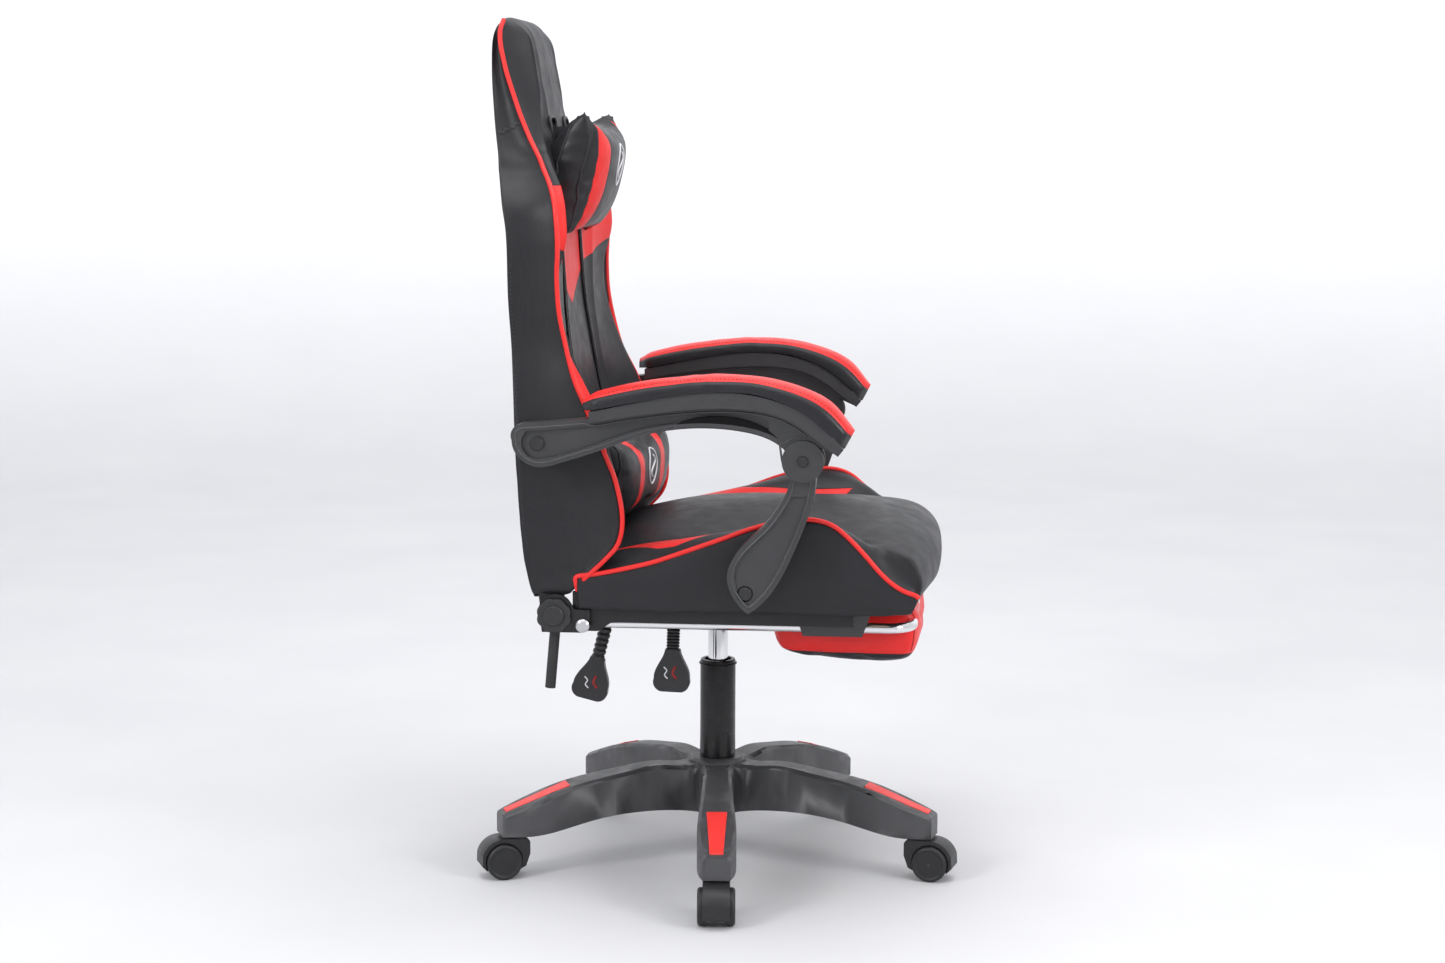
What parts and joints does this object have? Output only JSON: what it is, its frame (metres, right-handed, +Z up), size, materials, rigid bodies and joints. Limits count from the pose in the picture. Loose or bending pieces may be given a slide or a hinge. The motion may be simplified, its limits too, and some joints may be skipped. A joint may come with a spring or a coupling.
{
  "type": "gaming chair",
  "caption": "High-back gaming chair with bucket seat, reclining back, linked armrests, pull-out footrest, gas lift and a five-leg caster base.",
  "frame": {"origin": "on the floor, on the column's axis", "axes": "+Z up, the chair faces -Y, the sitter's right hand is at -X"},
  "size_m": [0.6762, 0.6666, 1.179],
  "materials": {
    "nylon_black": "moulded texture",
    "red_plastic": "satin",
    "column_paint": "gloss powder coat",
    "sleeve_plastic": "matt",
    "steel": "machined",
    "chrome": "polished",
    "button_red": "gloss",
    "frame_paint": "satin powder coat",
    "plywood": "raw birch",
    "leather_black": "grained PU leather",
    "leather_red": "grained PU leather",
    "lever_steel": "black",
    "handle_plastic": "gloss",
    "grip_sleeve": "matt",
    "elastic_black": "woven",
    "bolt_black": "black oxide",
    "caster_hood": "satin",
    "wheel_nylon": "satin"
  },
  "bodies": {
    "base": {"base_star": "nylon_black", "base_inserts": "red_plastic", "gas_outer_tube": "column_paint", "guide_sleeve": "sleeve_plastic"},
    "turntable": {"piston_rod": "steel", "thrust_bearing": "steel"},
    "seat": {"gas_cylinder": "chrome", "mechanism_plate": "frame_paint", "seat_frame": "frame_paint", "seat_board": "plywood", "seat_cushion": "leather_black", "seat_wings": "leather_black", "recliner_seat_brackets": "frame_paint", "footrest_guides": "nylon_black", "seat_bolts": "steel"},
    "release_button": {"release_button": "button_red"},
    "lift_lever": {"lift_lever_rod": "lever_steel", "lift_handle": "handle_plastic"},
    "recline_lever": {"recline_lever_rod": "lever_steel", "recline_handle": "handle_plastic"},
    "release_arm": {"recliner_release_arm": "grip_sleeve"},
    "back": {"back_frame": "frame_paint", "back_cover": "leather_black", "back_cushion": "leather_black", "back_wings": "leather_black", "head_pillow": "leather_black", "lumbar_pillow": "leather_black", "pillow_straps": "elastic_black", "recliner_back_brackets": "frame_paint", "back_bolts": "steel"},
    "footrest_slide": {"footrest_rails": "chrome"},
    "footrest_pad": {"footrest_pad": "leather_red"},
    "arm_lower_left": {"arm_lower_left": "nylon_black"},
    "arm_upper_left": {"arm_upper_left": "nylon_black", "arm_pad_left": "leather_black", "arm_bolts_left": "bolt_black"},
    "arm_lower_right": {"arm_lower_right": "nylon_black"},
    "arm_upper_right": {"arm_upper_right": "nylon_black", "arm_pad_right": "leather_black", "arm_bolts_right": "bolt_black"},
    "caster_1": {"caster_1_hood": "caster_hood", "caster_1_pins": "steel"},
    "caster_1_wheel_a": {"caster_1_wheel_a": "wheel_nylon"},
    "caster_1_wheel_b": {"caster_1_wheel_b": "wheel_nylon"},
    "caster_2": {"caster_2_hood": "caster_hood", "caster_2_pins": "steel"},
    "caster_2_wheel_a": {"caster_2_wheel_a": "wheel_nylon"},
    "caster_2_wheel_b": {"caster_2_wheel_b": "wheel_nylon"},
    "caster_3": {"caster_3_hood": "caster_hood", "caster_3_pins": "steel"},
    "caster_3_wheel_a": {"caster_3_wheel_a": "wheel_nylon"},
    "caster_3_wheel_b": {"caster_3_wheel_b": "wheel_nylon"},
    "caster_4": {"caster_4_hood": "caster_hood", "caster_4_pins": "steel"},
    "caster_4_wheel_a": {"caster_4_wheel_a": "wheel_nylon"},
    "caster_4_wheel_b": {"caster_4_wheel_b": "wheel_nylon"},
    "caster_5": {"caster_5_hood": "caster_hood", "caster_5_pins": "steel"},
    "caster_5_wheel_a": {"caster_5_wheel_a": "wheel_nylon"},
    "caster_5_wheel_b": {"caster_5_wheel_b": "wheel_nylon"}
  },
  "joints": [
    {"name": "seat_swivel", "type": "hinge", "parent": "base", "child": "turntable", "pos_m": [0, 0, 0.083], "axis": [0, 0, 1], "continuous": true},
    {"name": "seat_lift", "type": "slide", "parent": "turntable", "child": "seat", "axis": [0, 0, 1], "range_m": [0, 0.08]},
    {"name": "release_button_press", "type": "slide", "parent": "seat", "child": "release_button", "axis": [0, 0, -1], "range_m": [0, 0.0042]},
    {"name": "lift_lever_pull", "type": "hinge", "parent": "seat", "child": "lift_lever", "pos_m": [-0.02859, 0.00908, 0.3919], "axis": [0.3027, 0.9531, 0], "range_deg": [0, 8], "stiffness_Nm_per_rad": 1.5, "springref_deg": -14.32},
    {"name": "recline_lever_pull", "type": "hinge", "parent": "seat", "child": "recline_lever", "pos_m": [-0.066, 0.135, 0.3796], "axis": [0, 1, 0], "range_deg": [0, 8], "stiffness_Nm_per_rad": 1.5, "springref_deg": -14.32},
    {"name": "release_arm_turn", "type": "hinge", "parent": "seat", "child": "release_arm", "pos_m": [-0.2255, 0.195, 0.394], "axis": [1, 0, 0], "range_deg": [0, 15]},
    {"name": "recline", "type": "hinge", "parent": "seat", "child": "back", "pos_m": [0, 0.195, 0.394], "axis": [-1, 0, 0], "range_deg": [0, 45]},
    {"name": "footrest_slide_out", "type": "slide", "parent": "seat", "child": "footrest_slide", "axis": [0, -1, 0], "range_m": [0, 0.22]},
    {"name": "footrest_flip", "type": "hinge", "parent": "footrest_slide", "child": "footrest_pad", "pos_m": [0, -0.276, 0.374], "axis": [-1, 0, 0], "range_deg": [0, 180]},
    {"name": "arm_lower_left_swing", "type": "hinge", "parent": "seat", "child": "arm_lower_left", "pos_m": [0.285, -0.062, 0.4378], "axis": [-1, 0, 0], "range_deg": [0, 54]},
    {"name": "arm_upper_left_swing", "type": "hinge", "parent": "arm_lower_left", "child": "arm_upper_left", "pos_m": [0.296, -0.136, 0.6127], "axis": [1, 0, 0], "range_deg": [0, 42]},
    {"name": "arm_lower_right_swing", "type": "hinge", "parent": "seat", "child": "arm_lower_right", "pos_m": [-0.285, -0.062, 0.4378], "axis": [-1, 0, 0], "range_deg": [0, 54]},
    {"name": "arm_upper_right_swing", "type": "hinge", "parent": "arm_lower_right", "child": "arm_upper_right", "pos_m": [-0.296, -0.136, 0.6127], "axis": [1, 0, 0], "range_deg": [0, 42]},
    {"name": "caster_1_swivel", "type": "hinge", "parent": "base", "child": "caster_1", "pos_m": [-0.06584, -0.28653, 0.07], "axis": [0, 0, 1], "continuous": true},
    {"name": "caster_1_wheel_a_roll", "type": "hinge", "parent": "caster_1", "child": "caster_1_wheel_a", "pos_m": [-0.07054, -0.307, 0.025], "axis": [0.9746, -0.2239, 0], "continuous": true},
    {"name": "caster_1_wheel_b_roll", "type": "hinge", "parent": "caster_1", "child": "caster_1_wheel_b", "pos_m": [-0.07054, -0.307, 0.025], "axis": [0.9746, -0.2239, 0], "continuous": true},
    {"name": "caster_2_swivel", "type": "hinge", "parent": "base", "child": "caster_2", "pos_m": [0.25217, -0.15116, 0.07], "axis": [0, 0, 1], "continuous": true},
    {"name": "caster_2_wheel_a_roll", "type": "hinge", "parent": "caster_2", "child": "caster_2_wheel_a", "pos_m": [0.27018, -0.16195, 0.025], "axis": [0.5141, 0.8577, 0], "continuous": true},
    {"name": "caster_2_wheel_b_roll", "type": "hinge", "parent": "caster_2", "child": "caster_2_wheel_b", "pos_m": [0.27018, -0.16195, 0.025], "axis": [0.5141, 0.8577, 0], "continuous": true},
    {"name": "caster_3_swivel", "type": "hinge", "parent": "base", "child": "caster_3", "pos_m": [0.22168, 0.19311, 0.07], "axis": [0, 0, 1], "continuous": true},
    {"name": "caster_3_wheel_a_roll", "type": "hinge", "parent": "caster_3", "child": "caster_3_wheel_a", "pos_m": [0.23752, 0.20691, 0.025], "axis": [-0.6568, 0.754, 0], "continuous": true},
    {"name": "caster_3_wheel_b_roll", "type": "hinge", "parent": "caster_3", "child": "caster_3_wheel_b", "pos_m": [0.23752, 0.20691, 0.025], "axis": [-0.6568, 0.754, 0], "continuous": true},
    {"name": "caster_4_swivel", "type": "hinge", "parent": "base", "child": "caster_4", "pos_m": [-0.11516, 0.27051, 0.07], "axis": [0, 0, 1], "continuous": true},
    {"name": "caster_4_wheel_a_roll", "type": "hinge", "parent": "caster_4", "child": "caster_4_wheel_a", "pos_m": [-0.12338, 0.28983, 0.025], "axis": [-0.9201, -0.3917, 0], "continuous": true},
    {"name": "caster_4_wheel_b_roll", "type": "hinge", "parent": "caster_4", "child": "caster_4_wheel_b", "pos_m": [-0.12338, 0.28983, 0.025], "axis": [-0.9201, -0.3917, 0], "continuous": true},
    {"name": "caster_5_swivel", "type": "hinge", "parent": "base", "child": "caster_5", "pos_m": [-0.29285, -0.02593, 0.07], "axis": [0, 0, 1], "continuous": true},
    {"name": "caster_5_wheel_a_roll", "type": "hinge", "parent": "caster_5", "child": "caster_5_wheel_a", "pos_m": [-0.31377, -0.02778, 0.025], "axis": [0.0882, -0.9961, 0], "continuous": true},
    {"name": "caster_5_wheel_b_roll", "type": "hinge", "parent": "caster_5", "child": "caster_5_wheel_b", "pos_m": [-0.31377, -0.02778, 0.025], "axis": [0.0882, -0.9961, 0], "continuous": true}
  ],
  "couplings": [
    {"joint": "release_button_press", "follows": "lift_lever_pull", "m_per_rad": 0.029364},
    {"joint": "release_arm_turn", "follows": "recline_lever_pull", "ratio": 1.8},
    {"joint": "footrest_flip", "follows": "footrest_slide_out", "rad_per_m": 14.28},
    {"joint": "arm_lower_left_swing", "follows": "recline", "ratio": 1.1822},
    {"joint": "arm_upper_left_swing", "follows": "recline", "ratio": 0.9243},
    {"joint": "arm_lower_right_swing", "follows": "recline", "ratio": 1.1822},
    {"joint": "arm_upper_right_swing", "follows": "recline", "ratio": 0.9243}
  ]
}
